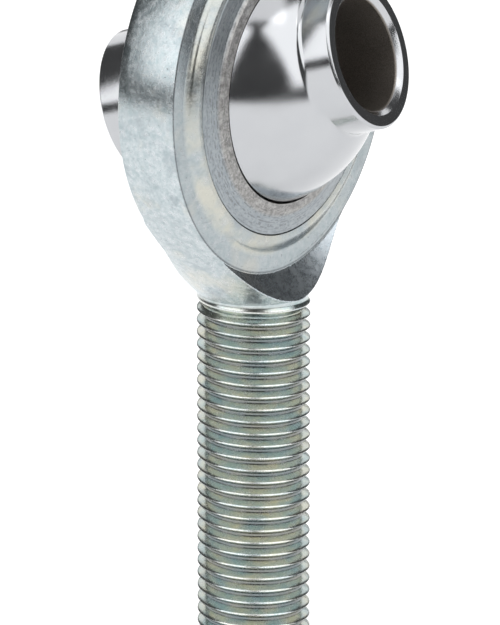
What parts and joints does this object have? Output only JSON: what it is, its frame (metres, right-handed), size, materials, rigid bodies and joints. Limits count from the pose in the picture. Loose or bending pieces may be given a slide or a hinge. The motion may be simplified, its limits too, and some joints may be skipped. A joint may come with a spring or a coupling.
{
  "type": "rod end bearing",
  "caption": "Male rod end with a threaded shank, a round eye with a lined race, and a tilting chrome ball with extended collars and a through bore.",
  "frame": {"origin": "centre of the ball, which is the centre of the eye", "axes": "+Z from the shank towards the eye, Y along the eye axis, +X to the right seen from -Y"},
  "size_m": [0.0318, 0.0254, 0.0667],
  "materials": {
    "zinc_plated_steel": "satin zinc plate",
    "race_steel": "fine turned",
    "liner_fabric": "woven, resin bonded",
    "ball_chrome": "mirror polished"
  },
  "bodies": {
    "housing": {"rod_end_body": "zinc_plated_steel", "outer_race": "race_steel"},
    "liner": {"race_liner": "liner_fabric"},
    "ball": {"ball": "ball_chrome"}
  },
  "joints": [
    {"name": "ball_spin", "type": "hinge", "parent": "housing", "child": "liner", "pos_m": [0, 0, 0], "axis": [0, -1, 0], "continuous": true},
    {"name": "ball_tilt", "type": "hinge", "parent": "liner", "child": "ball", "pos_m": [0, 0, 0], "axis": [0.9588, 0, -0.284], "range_deg": [-7.6, 44.4]}
  ]
}
